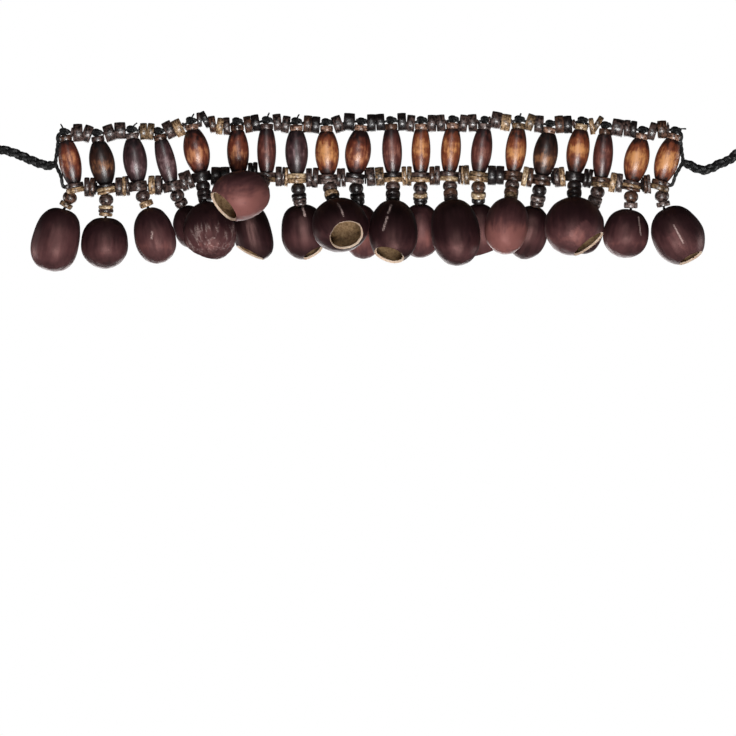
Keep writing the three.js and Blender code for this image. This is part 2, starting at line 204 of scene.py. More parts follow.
# Sawn shell: the pale cut edge of a pod, chalky, with saw marks, and its raw brown inside
def sawnShell(name, dark, pale, rough):
    finish, tree = newFinish(name)
    place = node(tree, "ShaderNodeTexCoord").outputs["Object"]
    fibres = mottle(tree, place, scale=1100.0, detail=3.0)    # 0.9 mm
    patches = mottle(tree, place, scale=260.0, detail=2.0)    # 4 mm
    colour = toned(tree, maths(tree, "MULTIPLY", fibres, patches), [(0.08, dark), (0.44, pale)])
    shine(tree, colour, relief(tree, fibres, strength=0.35, depth=0.0003), Roughness=rough, IOR=1.45)
    return finish


# Coconut shell, drilled and cut to discs: dark fibres in a lighter ground, scratched satin
shellTones = {
    "k": ("black", "#080506", "#2e2322"),
    "d": ("dark", "#0d0707", "#66504a"),
    "n": ("brown", "#1c100c", "#6e4d3d"),
    "o": ("olive", "#2e2016", "#9a7c5c"),
    "r": ("rosy", "#3a221a", "#bd937c"),
    "t": ("tan", "#583e29", "#d6b188"),
    "p": ("pale", "#7d5e40", "#e8cda6"),
    "g": ("grey", "#241c1b", "#927d76"),
}


def coconutShell(tone):
    name, dark, light = shellTones[tone]
    finish, tree = newFinish("coconutShell_" + name)
    grain = readMark(tree, "grain", "Vector")
    layers = mottle(tree, grain, scale=1.0, detail=4.0, rough=0.6, stretch=(0.35, 0.35, 1.6))    # 0.6 mm
    chips = mottle(tree, grain, scale=0.9, detail=3.0)    # 1.1 mm
    level = maths(tree, "MULTIPLY", maths(tree, "ADD", layers, chips), 0.5)
    colour = toned(tree, level, [(0.43, dark), (0.6, light)])
    shine(tree, colour, relief(tree, chips, strength=0.3, depth=0.0004),
          Roughness=ranged(tree, chips, low=0.2, high=0.45), **{"Specular IOR Level": 0.8})
    return finish


# Waxed cotton: soft black, a little shine on the plies, fine fibres
def waxedCotton():
    finish, tree = newFinish("waxedCotton")
    place = node(tree, "ShaderNodeTexCoord").outputs["Object"]
    fibres = mottle(tree, place, scale=2200.0, detail=3.0)    # 0.45 mm
    colour = toned(tree, fibres, [(0.35, "#060606"), (0.7, "#1d1c1d")])
    shine(tree, colour, relief(tree, fibres, strength=0.4, depth=0.0002), Roughness=0.5, IOR=1.45)
    return finish


beadFinish = {tone: palmWood(tone) for tone in palmTones}
shellOrder = sorted(shellTones)
shellFinishes = [coconutShell(tone) for tone in shellOrder]
skinFinish = podSkin()
edgeFinish = sawnShell("sawnPodEdge", "#bd9c82", "#efdac4", 0.6)
hollowFinish = sawnShell("rawPodInside", "#5c4128", "#bb9a72", 0.75)
cordFinish = waxedCotton()
print("finishes ready")


# Camera square on to the flat band, with a long lens; the lower half of the picture stays empty
view = {"away": 3.0, "wide": 323.84, "x": -0.9, "z": -93.7, "sensor": 36, "farthest": 60}
camera = bpy.data.objects.new("camera", bpy.data.cameras.new("camera"))
camera.data.sensor_width = view["sensor"]
camera.data.lens = view["sensor"] * view["away"] / (view["wide"] * mm)
camera.data.clip_end = view["farthest"]
camera.location = (view["x"] * mm, bandY * mm - view["away"], view["z"] * mm)
camera.rotation_euler = (math.pi / 2, 0, 0)
scene.collection.objects.link(camera)
scene.camera = camera
scene.view_settings.view_transform = "Standard"

# Soft boxes: the main one low in front, a weak one over the camera, one behind and one at each side
lamps = {
    "frontLow": {"place": (0.06, -1.02, -0.42), "size": (0.4, 0.26), "watts": 10.0},
    "frontHigh": {"place": (-0.06, -1.28, 0.36), "size": (0.26, 0.16), "watts": 3.0},
    "backLow": {"place": (-0.1, 0.8, -0.45), "size": (0.9, 0.5), "watts": 6.0},
    "leftSide": {"place": (-1.1, 0.25, -0.2), "size": (0.5, 0.4), "watts": 3.2},
    "rightSide": {"place": (1.1, 0.25, -0.2), "size": (0.5, 0.4), "watts": 3.2},
}
lampAim = Vector((0, 0, -0.015))
for name, facts in lamps.items():
    lamp = bpy.data.lights.new(name, "AREA")
    lamp.shape = "RECTANGLE"
    lamp.size, lamp.size_y = facts["size"]
    lamp.energy = facts["watts"]
    box = bpy.data.objects.new(name, lamp)
    box.location = facts["place"]
    box.rotation_euler = (lampAim - Vector(facts["place"])).to_track_quat("-Z", "Y").to_euler()
    box.visible_camera = False
    scene.collection.objects.link(box)

# White all round for the eye and for what looks through; a paler sky below and behind than above for the rest
skyFacts = {"way": (0, 0.55, -0.83), "glow": [(0.0, 0.06), (0.75, 0.85)], "strength": 0.32}
world = bpy.data.worlds.new("studio")
world.use_nodes = True
scene.world = world
world.node_tree.nodes.clear()
sky = world.node_tree
toward = node(sky, "ShaderNodeTexCoord").outputs["Generated"]
lowBehind = node(sky, "ShaderNodeVectorMath", {0: toward, 1: skyFacts["way"]}, operation="DOT_PRODUCT")
glow = toned(sky, lowBehind.outputs["Value"], skyFacts["glow"])
path = node(sky, "ShaderNodeLightPath")
seen = maths(sky, "MAXIMUM", path.outputs["Is Camera Ray"], path.outputs["Is Transmission Ray"])
room = node(sky, "ShaderNodeBackground", {"Color": glow, "Strength": skyFacts["strength"]})
white = node(sky, "ShaderNodeBackground", {"Color": (1, 1, 1, 1), "Strength": 1.0})
both = node(sky, "ShaderNodeMixShader", {0: seen, 1: room.outputs[0], 2: white.outputs[0]})
node(sky, "ShaderNodeOutputWorld", {"Surface": both.outputs[0]})

# Pale floor, well under the picture, lifted to near white for the eye alone
floorFacts = {"low": -1.2, "half": 6, "lift": 0.88}
floorMesh = bmesh.new()
bmesh.ops.create_grid(floorMesh, x_segments=2, y_segments=2, size=floorFacts["half"])
bmesh.ops.translate(floorMesh, verts=floorMesh.verts, vec=(0, 0, floorFacts["low"]))
floorData = bpy.data.meshes.new("floor")
floorMesh.to_mesh(floorData)
floorFinish, floorTree = newFinish("paleFloor")
speck = node(floorTree, "ShaderNodeTexNoise", {"Scale": 3.0})
floorTone = toned(floorTree, speck.outputs["Fac"], [(0.3, "#f0f0ef"), (0.7, "#f4f4f3")])
matt = node(floorTree, "ShaderNodeBsdfDiffuse", {"Color": floorTone})
eye = node(floorTree, "ShaderNodeLightPath").outputs["Is Camera Ray"]
lift = maths(floorTree, "MULTIPLY", eye, floorFacts["lift"])
pale = node(floorTree, "ShaderNodeEmission", {"Color": floorTone, "Strength": lift})
ground = node(floorTree, "ShaderNodeAddShader", {0: matt.outputs[0], 1: pale.outputs[0]})
node(floorTree, "ShaderNodeOutputMaterial", {"Surface": ground.outputs[0]})
floorData.materials.append(floorFinish)
floor = bpy.data.objects.new("floor", floorData)
scene.collection.objects.link(floor)
print("camera, lamps and floor ready")


# Meshes

def spun(outline, steps):    # an outline of (radius, height) in millimetres, turned about +Z
    mesh = bmesh.new()
    dots = [mesh.verts.new((radius * mm, 0, height * mm)) for radius, height in outline]
    lines = [mesh.edges.new(pair) for pair in zip(dots, dots[1:])]
    bmesh.ops.spin(mesh, geom=dots + lines, cent=(0, 0, 0), axis=(0, 0, 1), angle=2 * math.pi, steps=steps,
                   use_merge=True)
    bmesh.ops.remove_doubles(mesh, verts=mesh.verts, dist=1e-7)
    bmesh.ops.recalc_face_normals(mesh, faces=mesh.faces)
    return mesh


def strand(points, radius, sides=8, plies=2, pitch=4.8, depth=0.14):    # millimetres; the plies wind round it
    mesh = bmesh.new()
    ring = bmesh.ops.create_circle(mesh, cap_ends=True, segments=sides, radius=radius * mm)["verts"]
    for dot in ring:
        dot.co *= 1 + depth * math.cos(plies * math.atan2(dot.co.y, dot.co.x))
    edges = list(mesh.edges)
    spots = [Vector(point) * mm for point in points]
    heading = Vector((0, 0, 1))
    turned = Matrix.Identity(3)
    before = Matrix.Identity(4)
    for index, spot in enumerate(spots):
        ahead = (spots[min(index + 1, len(spots) - 1)] - spots[max(index - 1, 0)]).normalized()
        turned = heading.rotation_difference(ahead).to_matrix() @ turned
        heading = ahead
        step = (spot - spots[index - 1]).length / mm if index else 0
        turned = turned @ Matrix.Rotation(2 * math.pi * step / pitch, 3, "Z")
        here = Matrix.Translation(spot) @ turned.to_4x4()
        if index:
            grown = bmesh.ops.extrude_edge_only(mesh, edges=edges)["geom"]
            ring = [item for item in grown if isinstance(item, bmesh.types.BMVert)]
            edges = [item for item in grown if isinstance(item, bmesh.types.BMEdge)]
        bmesh.ops.transform(mesh, matrix=here @ before.inverted(), verts=ring)
        before = here
    bmesh.ops.edgeloop_fill(mesh, edges=edges)
    bmesh.ops.recalc_face_normals(mesh, faces=mesh.faces)
    return mesh


def smoothRun(points, step):    # points at even steps along a curve through the given ones, in millimetres
    spots = [Vector(point) for point in points]
    run = []
    for index in range(len(spots) - 1):
        a, b = spots[max(index - 1, 0)], spots[index]
        c, d = spots[index + 1], spots[min(index + 2, len(spots) - 1)]
        parts = max(1, round((c - b).length / step))
        for part in range(parts):
            t = part / parts
            run.append(0.5 * (2 * b + (c - a) * t + (2 * a - 5 * b + 4 * c - d) * t * t
                              + (3 * b - a - 3 * c + d) * t ** 3))
    return run + [spots[-1]]


def aim(axis, place):    # turns a mesh's +Z to the axis and takes it to its place, in millimetres
    turn = Vector((0, 0, 1)).rotation_difference(axis).to_matrix().to_4x4()
    return Matrix.Translation(Vector(place) * mm) @ turn


grainRoom = 90    # millimetres that a mesh's grain is moved by at most


def markGrain(mesh):    # keeps the mesh's own millimetres for its finish, from a place of its own
    layer = mesh.verts.layers.float_vector.new("grain")
    shift = Vector([chance.uniform(-grainRoom, grainRoom) for way in range(3)])
    for dot in mesh.verts:
        dot[layer] = dot.co / mm + shift


def gather(meshes):
    whole = bmesh.new()
    for mesh in meshes:
        data = bpy.data.meshes.new("part")
        mesh.to_mesh(data)
        mesh.free()
        whole.from_mesh(data)
        bpy.data.meshes.remove(data)
    return whole


def addPiece(name, mesh, finishes, body=None, nodes=(), crease=40):
    data = bpy.data.meshes.new(name)
    mesh.to_mesh(data)
    mesh.free()
    data.shade_smooth()
    data.set_sharp_from_angle(angle=math.radians(crease))
    for finish in finishes:
        data.materials.append(finish)
    piece = bpy.data.objects.new(name, data)
    scene.collection.objects.link(piece)
    if body:
        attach(piece, body)
    if nodes:
        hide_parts(*nodes)
    return piece


# Places along each column

def hanging(lean, tilt):
    side, forward = math.sin(math.radians(lean)), math.sin(math.radians(tilt))
    return Vector((side, -forward, -math.sqrt(1 - side * side - forward * forward)))


capMiddle = built["beadLength"] / 2 + built["gap"] + built["capHigh"] / 2
topRow = capMiddle + (built["capHigh"] + built["knot"]) / 2 - built["gap"]
bottomRow = built["beadLength"] / 2 + built["gap"] + built["baseHigh"] / 2
slack = {6: 1.6}    # spare thread above the pod that is flipped up
columns = []
for index, (x, z, lean, width, stem, collars, pod, size, mouth) in enumerate(strung):
    turn = math.radians(lean)
    axis = Vector((math.sin(turn), 0, math.cos(turn)))
    middle = Vector((x, bandY, z))
    column = {
        "label": f"{index + 1:02d}", "axis": axis, "across": Vector((axis.z, 0, -axis.x)), "middle": middle,
        "top": middle + axis * topRow, "bottom": middle - axis * bottomRow, "width": width,
        "stem": hanging(*stem), "down": hanging(*pod), "size": size, "mouth": mouth,
    }
    column["stemLength"] = (built["baseHigh"] / 2 + built["roundSpan"] + collars * built["collarHigh"]
                            + built["podGap"] + slack.get(index, 0) + built["podWall"] / 2)
    column["hole"] = column["bottom"] + column["stem"] * column["stemLength"]
    column["body"] = "band_" + column["label"]
    if index < 2 or index > last - 2:    # the two columns at each end move as one
        column["body"] = "band_01_02" if index < 2 else "band_19_20"
    column["string"] = column["body"].replace("band", "string")
    columns.append(column)


def beadRadius(width, height):    # the bead's outline: an arc through its ends and its widest point
    rise = (width - built["beadEnd"]) / 2
    arc = (built["beadLength"] ** 2 / 4 + rise * rise) / (2 * rise)
    return width / 2 - arc + math.sqrt(arc * arc - height * height)


# Braided ties, three strands of waxed cotton, each with a knot at its end
tieFacts = {"strand": 1.12, "wide": 1.02, "deep": 0.62, "braidPitch": 13.0, "step": 0.45,
            "rootShare": 0.45, "opening": 4,    # how close the strands lie at the root, how soon they part
            "knotSpan": 7, "knotStrand": 1.15, "knotSeat": 0.3}
tiePlies = {"sides": 10, "plies": 3, "pitch": 6.5, "depth": 0.1}
knotShape = {"loop": 0.245, "bulge": 0.125, "deep": 1.2, "turns": 44}    # the first two as shares of its span
tieRoutes = {
    "Left": [(-138.7, -4.2), (-140.7, -4.6), (-142.9, -4.5), (-145.2, -3.8), (-147.6, -2.9), (-150.0, -1.9),
             (-152.4, -0.8), (-154.8, 0.2), (-157.2, 1.1), (-159.6, 1.8), (-162.0, 2.3), (-164.6, 2.7),
             (-167.2, 3.0), (-169.9, 3.2), (-172.6, 3.3)],
    "Right": [(138.1, -3.3), (140.2, -4.2), (142.8, -5.5), (145.0, -6.4), (147.4, -6.6), (149.8, -5.9),
              (152.1, -4.7), (154.4, -3.6), (156.7, -2.8), (158.8, -1.6), (160.6, 0.0), (162.4, 1.7),
              (164.6, 3.0), (167.0, 3.9), (169.5, 4.5)],
}


def knotRun(span):    # a trefoil lump of about that span, in millimetres about its own middle
    loop, bulge = span * knotShape["loop"], span * knotShape["bulge"]
    run = []
    for step in range(knotShape["turns"] + 1):
        angle = 2 * math.pi * step / knotShape["turns"]
        out = loop + bulge * math.cos(3 * angle)
        run.append(Vector((out * math.cos(2 * angle), out * math.sin(2 * angle),
                           bulge * knotShape["deep"] * math.sin(3 * angle))))
    return run


for side, route in tieRoutes.items():
    body = columns[0 if side == "Left" else last]["body"]
    line = smoothRun([(x, bandY, z) for x, z in route], tieFacts["step"])
    strands = []
    for third in range(3):
        run, travelled = [], 0.0
        for index, spot in enumerate(line):
            ahead = (line[min(index + 1, len(line) - 1)] - line[max(index - 1, 0)]).normalized()
            over = Vector((-ahead.z, 0, ahead.x))
            travelled += (spot - line[index - 1]).length if index else 0
            phase = 2 * math.pi * (travelled / tieFacts["braidPitch"] + third / 3)
            parted = min(1, tieFacts["rootShare"] + travelled / tieFacts["opening"])
            run.append(spot + over * tieFacts["wide"] * parted * math.sin(phase)
                       + Vector((0, 1, 0)) * tieFacts["deep"] * parted * math.sin(2 * phase))
        strands.append(strand(run, tieFacts["strand"], **tiePlies))
    tie = addPiece("tie" + side, gather(strands), [cordFinish], body, ["tie_" + side.lower()])
    end = (line[-1] - line[-3]).normalized()
    knotMesh = strand(knotRun(tieFacts["knotSpan"]), tieFacts["knotStrand"], **tiePlies)
    seat = line[-1] + end * tieFacts["knotSpan"] * tieFacts["knotSeat"]
    bmesh.ops.transform(knotMesh, verts=knotMesh.verts, matrix=aim(end, seat))
    knot = addPiece("tieKnot" + side, knotMesh, [cordFinish], body)
print("ties ready")


# Oval beads: turned, bored, with softened ends
ovalFacts = {
    "bore": 1.1, "soften": 0.5, "softShare": 0.6, "steps": 26, "sides": 40,
    "tones": ["russet", "ebony", "mauve", "mauve", "russet", "russet", "redBrown", "mauve", "amber", "russet",
              "redBrown", "amber", "amber", "redBrown", "amber", "ebony", "amber", "redBrown", "amber",
              "amber"],
    # where the heart wood shows: its middle up the bead, its half length, and how bright
    "hearts": [(2, 7, 0.3), (-2, 4, 0.32), (-4, 6, 0.3), (-2, 9, 0.3), (-2.5, 5, 0.42), (-1, 8, 0.26),
               (-1, 9, 0.2), (0, 8, 0.16), (0, 8, 0.42), (-2, 5, 0.36), (-1, 8, 0.26), (2, 8, 0.36),
               (0, 8, 0.34), (-2, 7, 0.24), (-2, 6, 0.4), (-3, 5, 0.4), (1, 5, 0.42), (-1, 8, 0.22),
               (0, 8, 0.42), (-1, 8, 0.44)],
    # its gain, its share all round, the painted light it has more in front and behind, with painted shade
    # left at the sides, how fast it fades up and down, and how much darker the bead's ends and its ground are
    "gain": 1.12, "round": 0.25, "front": 0.75, "behind": 0.5, "fade": 1.4,
    "darkEnds": 0.34, "darkGround": 0.3,
}
for index, column in enumerate(columns):
    half, soft = built["beadLength"] / 2, ovalFacts["soften"]
    outline = [(ovalFacts["bore"], -half), (built["beadEnd"] / 2 - soft, -half)]
    for step in range(ovalFacts["steps"] + 1):
        height = (2 * step / ovalFacts["steps"] - 1) * (half - soft * ovalFacts["softShare"])
        outline.append((beadRadius(column["width"], height), height))
    outline += [(built["beadEnd"] / 2 - soft, half), (ovalFacts["bore"], half), (ovalFacts["bore"], -half)]
    mesh = spun(outline, ovalFacts["sides"])
    markGrain(mesh)
    heartAndLight = mesh.verts.layers.float.new("heartAndLight")
    centre, reach, bright = ovalFacts["hearts"][index]
    for dot in mesh.verts:
        away = (dot.co.z / mm - centre) / reach
        # painted light: the heart is made paler on the faces turned to the front and back, and darker at the
        # sides where shade falls
        turned = abs(math.atan2(dot.co.x, -dot.co.y))
        patch = (ovalFacts["round"] + ovalFacts["front"] * math.exp(-turned ** 2)
                 + ovalFacts["behind"] * math.exp(-(math.pi - turned) ** 2))
        lit = ovalFacts["gain"] * bright * patch * math.exp(-away * away * ovalFacts["fade"])
        dot[heartAndLight] = lit - ovalFacts["darkEnds"] * (abs(dot.co.z) / mm / half) ** 3 - ovalFacts["darkGround"]
    bmesh.ops.transform(mesh, matrix=aim(column["axis"], column["middle"]), verts=mesh.verts)
    addPiece("ovalBead" + column["label"], mesh, [beadFinish[ovalFacts["tones"][index]]],
             column["body"], ["oval_bead_" + column["label"]])
print("oval beads ready")


# Shell discs: caps, bases, rows and collars. A tone letter stands for each disc.
discFacts = {
    "capSpan": 5.6, "baseSpan": 8.2, "baseDrop": 0.8, "lowerMore": 0.4,    # a base's lower discs are wider
    "topSpan": 7.7, "bottomSpan": 8.6, "bottomLift": 0.3, "raised": {5: 2.2},    # lower rows above their line
    "seat": 0.1, "room": 0.05, "snug": 0.99,
    "bite": 0.22,    # how far a row presses into the column beside it
    "spacers": (6.4, 4.6, 3.2), "leastSpacer": 0.3, "knotRoom": 1.3, "probes": 40,
    "hole": 0.95, "sides": 18, "belly": 0.1, "soften": 0.2, "softMost": 0.6,
    "softCurve": ((0, 1), (0.5, 0.4), (1.4, 0)),    # how far in and down each point of a soft edge lies
    "oval": 0.03, "notched": 0.02, "turn": 6, "lean": 4, "tiltSlim": 0.2,    # not quite round or straight
    "caps": "ndgnrndrrrnrrgorpnrr",
    "bases": ["dt", "kpt", "d", "d", "k", "k", "do", "pt", "dg", "kg", "kt", "dt", "dp", "ot", "nn", "dn",
              "k", "no", "dtn", "no"],
    "collars": ["o", "pdt", "t", "d", "kk", "kd", "k", "kdg", "tk", "kk", "kk", "pkk", "nd", "pk", "no", "gd",
                "kk", "gn", "g", "g"],
    # the discs of each gap from the left, | in its middle
    "topRow": ["d|d", "d|d", "o|o", "d|t", "kn|td", "n|k", "d|d", "n|k", "d|k", "k|k", "k|d", "d|d", "d|d",
               "d|t", "o|d", "n|k", "t|o", "d|dk", "d|n"],
    "topTilt": [(-2, 18), (-13, 3), (-4, 3), (-9, -8), (-30, -10, 6, -3), (-8, -8), (-9, 6), (2, 3), (-18, 5),
                (2, -2), (-3, 6), (2, -3), (8, -5), (12, 9), (12, -4), (0, 2), (-20, 20), (3, -3, 0),
                (16, -4)],
    # how far below its thread's line each upper disc hangs
    "topDrop": [(0.4, 0.7), (0.8, 0.2), (0.6, 0.6), (1.1, 1.6), (-0.5, 1.5, 2.4, 2.4), (1.7, 1.1), (0.9, 1.7),
                (1.2, 1.5), (1.1, 0.1), (0.9, 0.9), (0.9, 1.5), (1.7, 1.6), (1.8, 1.5), (0.2, 1.4),
                (0.8, 1.0), (0.8, 1.2), (1.9, 0.3), (0.5, 0.2, 0.4), (0.7, -0.2)],
    "bottomRow": ["d|n", "d|td", "t|d", "d|d", "k|k", "k|k", "d|dt", "d|d", "d|d", "d|o", "t|o", "n|d",
                  "dt|o", "k|k", "p|n", "d|t", "k|k", "t|g", "n|g"],
}


def shellDisc(span, high, tone, axis, place):
    ring, half, hole = span / 2, high / 2, discFacts["hole"]
    soft = min(discFacts["soften"], half * discFacts["softMost"])
    upper = [(ring - soft * inward, half - soft * down) for inward, down in discFacts["softCurve"]]
    upper.append((hole, half))
    lower = [(out, -height) for out, height in reversed(upper)]
    mesh = spun([*lower, (ring + discFacts["belly"], 0), *upper, (hole, -half)], discFacts["sides"])
    wobble = chance.uniform(0, discFacts["turn"])
    for dot in mesh.verts:    # cut by hand, so not quite round
        angle = math.atan2(dot.co.y, dot.co.x)
        out = (1 + discFacts["oval"] * math.sin(2 * angle + wobble)
               + discFacts["notched"] * math.sin(5 * angle + 2 * wobble))
        dot.co.x, dot.co.y = dot.co.x * out, dot.co.y * out
    markGrain(mesh)
    for face in mesh.faces:
        face.material_index = shellOrder.index(tone)
    bmesh.ops.transform(mesh, matrix=aim(axis, place), verts=mesh.verts)
    return mesh


def rowStart(column, axis, start, span):    # how far a column stands into the row of discs beside it
    capReach, baseReach = discFacts["capSpan"] / 2, discFacts["baseSpan"] / 2
    across = column["across"] * (1 if axis.x > 0 else -1)
    edges = []
    for share in (-0.5, 0.5):
        edges.append(column["axis"] * (capMiddle + share * built["capHigh"]) + across * capReach)
        edges.append(column["axis"] * (share * built["baseHigh"] - bottomRow) + across * baseReach)
    ball = column["stem"] * (built["baseHigh"] + built["roundSpan"]) / 2 - column["axis"] * bottomRow
    for step in range(discFacts["probes"] + 1):
        share = step / discFacts["probes"] - 0.5
        height = built["beadLength"] * share
        edges.append(column["axis"] * height + across * beadRadius(column["width"], height))
        edges.append(ball + (axis * math.cos(math.pi * share) + Vector((0, 0, math.sin(math.pi * share))))
                     * built["roundSpan"] / 2)
    reach = 0
    for edge in edges:
        out = column["middle"] + edge - start
        along = out.dot(axis)
        if (out - axis * along).length < span / 2:
            reach = max(reach, along)
    return reach - discFacts["bite"]


rowSpots = {}    # disc middles in each gap, for the threads
for index, column in enumerate(columns):
    discs = []
    high = built["capHigh"] + built["gap"] + discFacts["seat"]
    place = column["middle"] + column["axis"] * (capMiddle + (built["capHigh"] - high) / 2)
    discs.append(shellDisc(discFacts["capSpan"], high, discFacts["caps"][index], column["axis"], place))
    stack = discFacts["bases"][index]
    first = built["baseHigh"] / 2 + built["gap"] + discFacts["seat"]
    each = (first + built["baseHigh"] / 2 + discFacts["baseDrop"]) / len(stack)
    for step, tone in enumerate(stack):
        span = discFacts["baseSpan"] + (discFacts["lowerMore"] if step else 0)
        place = column["bottom"] + column["axis"] * (first - (step + 0.5) * each)
        discs.append(shellDisc(span, each * discFacts["snug"], tone, column["axis"], place))
    for row in ("top", "bottom"):
        atTop = row == "top"
        span = discFacts[row + "Span"]
        for side in (-1, 1):
            if not 0 <= index + side <= last:
                continue
            other = columns[index + side]
            gap = min(index, index + side)
            halves = discFacts[row + "Row"][gap].split("|")
            stack = halves[0] if side > 0 else halves[1][::-1]
            tilts, drops = [discFacts[key][gap][::side][:len(stack)] for key in ("topTilt", "topDrop")]
            above = -max(drops) if atTop else discFacts["raised"].get(gap, discFacts["bottomLift"])
            shift = Vector((0, 0, above))
            start = column[row] + shift
            run = other[row] + shift - start
            axis = run.normalized()
            near, far = rowStart(column, axis, start, span), rowStart(other, -axis, start + run, span)
            half = (run.length - near - far - discFacts["room"]) / 2
            each = half / len(stack)
            root = column["top"] if atTop else start
            inner = start + axis * near + Vector((0, 0, max(drops) - drops[0] if atTop else 0)) - root
            way, outer = inner.normalized(), inner.length
            for slim in discFacts["spacers"]:    # small dark discs close up the thread beside the column
                reach = max(rowStart(column, way, root, slim), discFacts["knotRoom"] if atTop else 0)
                if outer - reach > discFacts["leastSpacer"]:
                    high = outer - reach - discFacts["room"]
                    place = root + way * (outer + reach) / 2
                    discs.append(shellDisc(slim, high, "d" if atTop else "k", way, place))
                    outer = reach
            for step, tone in enumerate(stack):
                lean = tilts[step] if atTop else chance.uniform(-discFacts["lean"], discFacts["lean"])
                facing = Matrix.Rotation(math.radians(lean), 3, "Y") @ axis
                spot = start + axis * (near + (step + 0.5) * each)
                spot.z += max(drops) - drops[step] if atTop else 0
                rowSpots.setdefault((gap, row), []).append(spot)
                high = each * (1.0 - abs(math.radians(lean)) * discFacts["tiltSlim"])
                discs.append(shellDisc(span, high, tone, facing, spot))
    addPiece("shellDiscs" + column["label"], gather(discs), shellFinishes, column["body"])
print("discs ready")


# Pendants: a round bead and the collars under it
pendantFacts = {
    "rounds": "ndddkddkdkdddndkkdnd", "roundWide": 6.4, "roundHigh": 5.2, "hole": 0.75,
    "sides": 28, "steps": 14, "flatEnds": 0.82, "full": 0.8, "seat": 0.94, "lean": 3,
    "lowSpan": 5.8, "podRoom": 0.55, "moreRoom": {0: 0.25, 6: 0.5, 19: 0.35},    # so that the pod can swing
}
for index, column in enumerate(columns):
    parts = []
    ball, rise, hole = pendantFacts["roundWide"] / 2, pendantFacts["roundHigh"] / 2, pendantFacts["hole"]
    outline = [(hole, -rise)]
    for step in range(pendantFacts["steps"] + 1):
        angle = math.pi * (step / pendantFacts["steps"] - 0.5) * pendantFacts["flatEnds"]
        height = rise * math.sin(angle) / math.sin(math.pi * (pendantFacts["flatEnds"] / 2))
        outline.append((ball * math.cos(angle) ** pendantFacts["full"], height))
    mesh = spun(outline + [(hole, rise), (hole, -rise)], pendantFacts["sides"])
    markGrain(mesh)
    for face in mesh.faces:
        face.material_index = shellOrder.index(pendantFacts["rounds"][index])
    depth = built["baseHigh"] / 2 + discFacts["baseDrop"] + rise
    place = column["bottom"] + column["stem"] * depth
    bmesh.ops.transform(mesh, matrix=aim(-column["stem"], place), verts=mesh.verts)
    parts.append(mesh)
    stack = discFacts["collars"][index]
    depth += rise * pendantFacts["seat"]
    clear = pendantFacts["podRoom"] + pendantFacts["moreRoom"].get(index, 0)
    high = column["stemLength"] - built["podWall"] / 2 - clear - depth
    for step, tone in enumerate(stack):
        lean = chance.uniform(-pendantFacts["lean"], pendantFacts["lean"])
        facing = Matrix.Rotation(math.radians(lean), 3, "Y") @ -column["stem"]
        place = column["bottom"] + column["stem"] * (depth + (step + 0.5) * high / len(stack))
        span = pendantFacts["lowSpan"] if step == len(stack) - 1 else built["collarSpan"]
        parts.append(shellDisc(span, high / len(stack) * discFacts["snug"], tone, facing, place))
    addPiece("pendant" + column["label"], gather(parts), shellFinishes, column["body"])
print("pendants ready")


# Threads: down each column to the stopper knot in its pod, and along both rows; a knot on each cap
threadFacts = {
    "radius": 0.6, "step": 0.8, "stopper": 4.0, "capKnot": 0.92, "knotSides": 7, "knotWide": 1.4,
    "blendReach": 2.2,
    # short ends left at some knots: each tip from its knot's middle
    "tails": {0: (-1.5, -1, 3.4), 2: (2.6, -1, 2.8), 4: (1.5, -1, 3), 6: (1.2, -1, 3.2), 7: (1.4, -1, 3.0),
              9: (-2.5, -1.5, 0.8), 14: (0.8, -1, 2.6), 19: (4.6, -1, 0.6)},
    "tailShare": 0.6, "tailStep": 0.5, "tailSides": 6, "tailBow": (0, -0.5, 0.3),
    # the strand down each end bead: its radius, how near it lies, how far it is drawn off and at what height
    "endStrand": 0.8, "near": 0.9, "drawn": 0.75, "drawnAt": {-1: 0.2, 1: 1.0},
    "capClear": 0.2, "capRise": 0.7, "capFall": 0.6, "lowQuarter": 1.1, "baseRise": 0.4,
}
